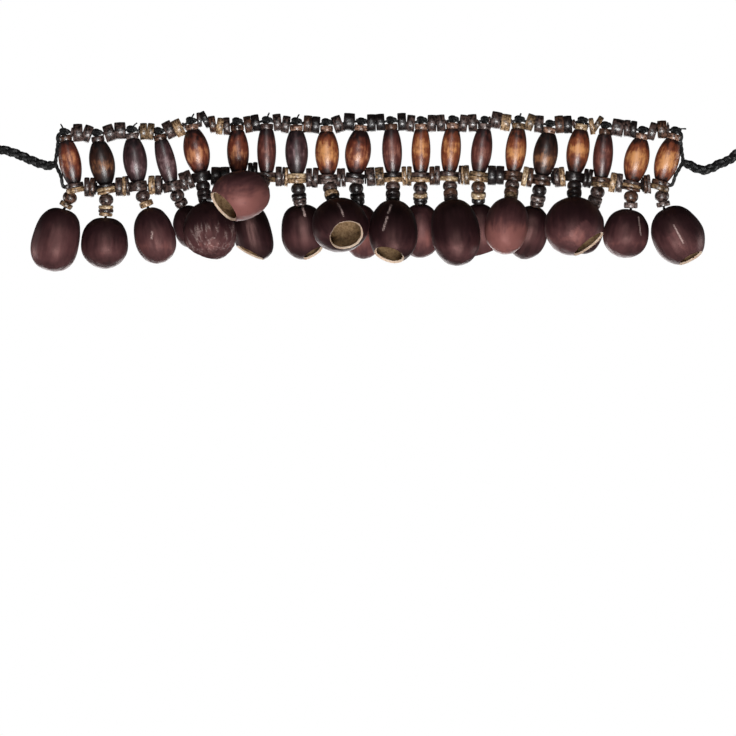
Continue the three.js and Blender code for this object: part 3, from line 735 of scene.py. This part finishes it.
for index, column in enumerate(columns):
    parts = []
    top = column["top"]
    stop = column["bottom"] + column["stem"] * (column["stemLength"] + built["stopperDrop"])
    parts.append(strand(smoothRun([top, column["middle"], column["bottom"], column["hole"], stop],
                                  threadFacts["step"]), threadFacts["radius"]))
    for span, place, axis in ((threadFacts["stopper"], stop, column["stem"]),
                              (built["knot"] * threadFacts["capKnot"], top, Vector((0, -1, 0)))):
        mesh = strand(knotRun(span), threadFacts["radius"], sides=threadFacts["knotSides"])
        if place == top:    # drawn out along the row
            bmesh.ops.scale(mesh, vec=(threadFacts["knotWide"], 1, 1), verts=mesh.verts)
        bmesh.ops.transform(mesh, matrix=aim(axis, place), verts=mesh.verts)
        parts.append(mesh)
    if index in threadFacts["tails"]:
        tip = top + Vector(threadFacts["tails"][index])
        bend = (top + tip) / 2 + Vector(threadFacts["tailBow"])
        parts.append(strand(smoothRun([top, bend, tip], threadFacts["tailStep"]),
                            threadFacts["radius"] * threadFacts["tailShare"], sides=threadFacts["tailSides"]))
    if index in (0, last):    # the end strand down the bead's outer side
        side = -1 if index == 0 else 1
        beside = threadFacts["endStrand"] * threadFacts["near"]
        quarter = built["beadLength"] / 4
        capOut, baseOut = discFacts["capSpan"] / 2, discFacts["baseSpan"] / 2
        shoulder = beadRadius(column["width"], quarter) + beside
        bends = [(0, topRow),
                 (capOut + threadFacts["capClear"], capMiddle + built["capHigh"] * threadFacts["capRise"]),
                 (capOut + beside, capMiddle - built["capHigh"] * threadFacts["capFall"]),
                 (shoulder, quarter),
                 (column["width"] / 2 + beside + threadFacts["drawn"], threadFacts["drawnAt"][side]),
                 (shoulder, -quarter * threadFacts["lowQuarter"]),
                 (baseOut + beside, built["baseHigh"] * threadFacts["baseRise"] - bottomRow),
                 (0, -bottomRow)]
        route = [column["middle"] + column["across"] * side * out + column["axis"] * height
                 for out, height in bends]
        parts.append(strand(smoothRun(route, threadFacts["step"]), threadFacts["endStrand"]))
    shared = column["body"] != "band_" + column["label"]    # the end pairs have one string node each
    nodes = [] if shared and index not in (0, last) else [column["string"]]
    addPiece("thread" + column["label"], gather(parts), [cordFinish], column["body"], nodes)

for gap in range(last):
    left, right = columns[gap], columns[gap + 1]
    parts = []
    for row in ("top", "bottom"):
        spots = sorted(rowSpots[(gap, row)], key=lambda spot: spot.x)
        run = smoothRun([left[row], *spots, right[row]], threadFacts["step"])
        parts.append(strand(run, threadFacts["radius"]))
    sameBody = left["body"] == right["body"]
    rows = addPiece("rowThreads" + left["label"], gather(parts), [cordFinish],
                    left["body"] if sameBody else None)
    if not sameBody:
        centre = (left["middle"] + right["middle"]) / 2 * mm
        reach = Vector((threadFacts["blendReach"] * mm, 0, 0))
        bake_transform(rows)
print("threads ready")


# Seed pods: tapered ovals with a sawn mouth, each with its own lumps, warmth and scuffs, and painted light
# and shade
podFacts = {
    "around": 84, "tall": 56, "hole": 2.8, "rimRound": 0.22, "rimBend": 50,
    # lumps and ripples in millimetres, none close to the thread hole; each pod's from a place of its own
    "lump": 0.3, "lumpScale": 1.3, "ripple": 0.16, "rippleScale": (5, 5, 0.8), "trueTop": 8,
    "seedStep": (7.3, 3.1, 5.7),
    "warmthAndPaintedLight": [0.3, 0.2, 0.29, 0.14, 0.24, -0.06, 0.54, 0.12, 0.05, 0.42, 0.06, 0.34, 0.12, 0.34, 0.55, 0.14,
               0.26, 0.12, 0.28, 0.2],
    "plainShade": 0.4, "paleDown": 0.4,    # painted light and shade: how much paler a pod is painted below its middle and darker towards its top, and how far down its palest band lies
    "shade": {6: 0.36, 14: 0.55},    # where that isn't as on the others
    # mouths that the picture shows turned or sized otherwise than the solids', and pods fuller or taller
    "mouthSpan": {5: 12, 7: 9.5, 8: 13.2, 10: 13.8, 19: 12.5},
    "mouth": {4: (-0.3, 0.4, -0.86), 5: (-0.45, -0.12, -0.88), 7: (0.5, -0.28, -0.82), 13: (0.3, 0.2, -0.93),
              16: (0.6, -0.24, -0.76)},
    "swell": {2: 0.97, 3: 0.91, 6: 1.04, 7: 0.96, 8: 1.03, 10: 0.99, 13: 0.98, 15: 0.98},
    "taller": {0: 1.02, 2: 1.06, 3: 0.93, 4: 1.05, 5: 0.99, 9: 1.03, 11: 1.03, 12: 1.08, 13: 1.01, 14: 1.05,
               15: 1.02},
    "slim": {4: 0.92},    # front to back
    # how full the shoulders and the foot are: 2 is an oval
    "plainSquare": 2.35, "plainFoot": 2,
    "square": {0: 2.7, 1: 2.6, 2: 2.2, 3: 2.1, 4: 2, 5: 2.8, 6: 2.7, 7: 2.9, 10: 2.5, 12: 3.0},
    "foot": {0: 2.4, 5: 2.8},
    "tip": {19: 0.14},    # narrower towards the mouth
    # flat where it rubs the next: its facing and share of the radius
    "rubbed": {4: (0.563, -0.65, 0.512, 0.915)},
    # the wrinkled pod: creases down its middle, with a painted highlight, pale along their tops
    "wrinkled": {4: {"scale": (7, 7, 0.9), "narrow": 2.3, "fade": 1.5, "low": 0.4, "high": 0.5,
                     "ridgeSheen": 0.58}},
    # pale wear, as picture places from and to and its half width in millimetres
    "scuffs": {2: [(153, 232, 152, 239, 0.9)], 7: [(302, 205, 305, 216, 1.0)], 8: [(338, 204, 344, 217, 0.7)],
               10: [(391, 206, 388, 214, 0.8), (387, 218, 383, 231, 0.9)], 18: [(638, 217, 640, 235, 0.6)],
               19: [(673, 225, 682, 244, 0.7)]},
    # a painted highlight where a rubbed facet catches the light: its upper edge as picture places, how far
    # down it fades, and how much paler it is
    "facetHighlights": {16: (566, 234, 585, 220, 7, 0.2), 19: (664, 240, 674, 230, 6, 0.15)},
}
pictureFrame = {"x": 370, "y": 155, "pixel": 0.44}    # where the part's zero lies, and millimetres to a pixel


def onPicture(x, y):    # a picture place as the part's x and z
    across, up = x - pictureFrame["x"], pictureFrame["y"] - y
    return Vector((across * pictureFrame["pixel"], up * pictureFrame["pixel"]))


def stretched(spot, scale):
    return Vector([part * share for part, share in zip(spot, scale)])


def sawOff(mesh, place, way):    # cuts away what lies past a plane
    everything = list(mesh.verts) + list(mesh.edges) + list(mesh.faces)
    bmesh.ops.bisect_plane(mesh, geom=everything, plane_co=place, plane_no=way, clear_outer=True)


for index, column in enumerate(columns):
    wide, deep, tall = [side * podFacts["swell"].get(index, 1) for side in column["size"]]
    tall *= podFacts["taller"].get(index, 1)
    deep *= podFacts["slim"].get(index, 1)
    mesh = bmesh.new()
    bmesh.ops.create_uvsphere(mesh, u_segments=podFacts["around"], v_segments=podFacts["tall"], radius=1)
    sawOff(mesh, (0, 0, math.sqrt(1 - (podFacts["hole"] / wide) ** 2)), (0, 0, 1))
    across = Vector((1, 0, 0)) - column["down"] * column["down"].x
    across.normalize()
    frameTurn = Matrix((across, across.cross(column["down"]), -column["down"])).transposed()
    seed = Vector([index * step for step in podFacts["seedStep"]])
    warmthAndPaintedLight = mesh.verts.layers.float.new("warmthAndPaintedLight")
    scuffAndSheen = mesh.verts.layers.float.new("scuffAndSheen")
    square = podFacts["square"].get(index, podFacts["plainSquare"])
    foot = podFacts["foot"].get(index, podFacts["plainFoot"])
    wrinkles = podFacts["wrinkled"].get(index)
    shade, low = podFacts["shade"].get(index, podFacts["plainShade"]), podFacts["paleDown"]
    for dot in mesh.verts:
        girth = 1 - built["podTaper"] * dot.co.z
        full = square if dot.co.z > 0 else foot
        if 0 < abs(dot.co.z) < 1:
            girth *= (1 - abs(dot.co.z) ** full) ** (1 / full) / math.sqrt(1 - dot.co.z ** 2)
        girth *= 1 - podFacts["tip"].get(index, 0) * min(0, dot.co.z) ** 2
        bump = (podFacts["lump"] * noise.noise(dot.co * podFacts["lumpScale"] + seed)
                + podFacts["ripple"] * noise.noise(stretched(dot.co, podFacts["rippleScale"]) + seed))
        bump *= 1 - max(0, dot.co.z) ** podFacts["trueTop"]
        if wrinkles:
            furrow = noise.noise(stretched(dot.co, wrinkles["scale"]) + seed)
            ridge = max(0, 1 - wrinkles["narrow"] * abs(furrow))
            ridge *= max(0, 1 - wrinkles["fade"] * (dot.co.z + wrinkles["low"]) ** 2)
            bump += wrinkles["high"] * ridge
            # painted highlight along the ridge tops
            dot[scuffAndSheen] = wrinkles["ridgeSheen"] * ridge
        # painted light and shade by height in the band: palest a little below the middle, where the low lamp
        # falls, darker towards the top
        height = (frameTurn @ dot.co).z
        dot[warmthAndPaintedLight] = podFacts["warmthAndPaintedLight"][index] - shade * (abs(height + low) - low)
        away = Vector((dot.co.x * girth * wide / 2, dot.co.y * girth * deep / 2, dot.co.z * tall / 2))
        dot.co = (away + away.normalized() * bump) * mm
    if index in podFacts["rubbed"]:
        *way, near = podFacts["rubbed"][index]
        way = frameTurn.inverted() @ Vector(way).normalized()
        limit = near * stretched(way, (wide, deep, tall)).length / 2 * mm
        for dot in mesh.verts:
            dot.co -= way * max(0, dot.co.dot(way) - limit)
    facing = frameTurn.inverted() @ Vector(podFacts["mouth"].get(index, column["mouth"])).normalized()
    span = podFacts["mouthSpan"].get(index, built["mouthSpan"])
    share = math.sqrt(1 - (span / (sum(column["size"]) / 3)) ** 2)
    reach = share * stretched(facing, (wide, deep, tall)).length / 2
    sawOff(mesh, facing * reach * mm, facing)
    markGrain(mesh)
    centre = column["hole"] + column["down"] * (tall / 2 - built["podWall"] / 2)
    bmesh.ops.transform(mesh, matrix=Matrix.Translation(centre * mm) @ frameTurn.to_4x4(), verts=mesh.verts)
    bmesh.ops.recalc_face_normals(mesh, faces=mesh.faces)
    for x0, y0, x1, y1, width in podFacts["scuffs"].get(index, []):
        a, b = onPicture(x0, y0), onPicture(x1, y1)
        for dot in mesh.verts:
            flat = Vector((dot.co.x, dot.co.z)) / mm
            along = max(0, min(1, (flat - a).dot(b - a) / (b - a).length_squared))
            off = (flat - a - (b - a) * along).length
            if dot.normal.y < 0:
                dot[scuffAndSheen] = max(dot[scuffAndSheen], 1 - off / width)
    # painted highlight: paler skin below a facet's edge, in place of the light that the flat facet catches
    if index in podFacts["facetHighlights"]:
        x0, y0, x1, y1, fade, gain = podFacts["facetHighlights"][index]
        a, b = onPicture(x0, y0), onPicture(x1, y1)
        for dot in mesh.verts:
            flat = Vector((dot.co.x, dot.co.z)) / mm - a
            below = (b - a).normalized().cross(flat)
            if dot.normal.y < 0 and -fade < below < 0 and 0 < flat.dot(b - a) < (b - a).length_squared:
                dot[warmthAndPaintedLight] += gain * (1 + below / fade)
    pod = addPiece("seedPod" + column["label"], mesh, [skinFinish, hollowFinish, edgeFinish],
                   "pod_" + column["label"], ["seed_pod_" + column["label"]], crease=60)
    wall = pod.modifiers.new("wall", "SOLIDIFY")
    wall.thickness = built["podWall"] * mm
    wall.offset = -1
    wall.material_offset = 1
    wall.material_offset_rim = 2
    edge = pod.modifiers.new("softEdge", "BEVEL")
    edge.width = podFacts["rimRound"] * mm
    edge.segments = 2
    edge.limit_method = "ANGLE"
    edge.angle_limit = math.radians(podFacts["rimBend"])
print("pods ready")
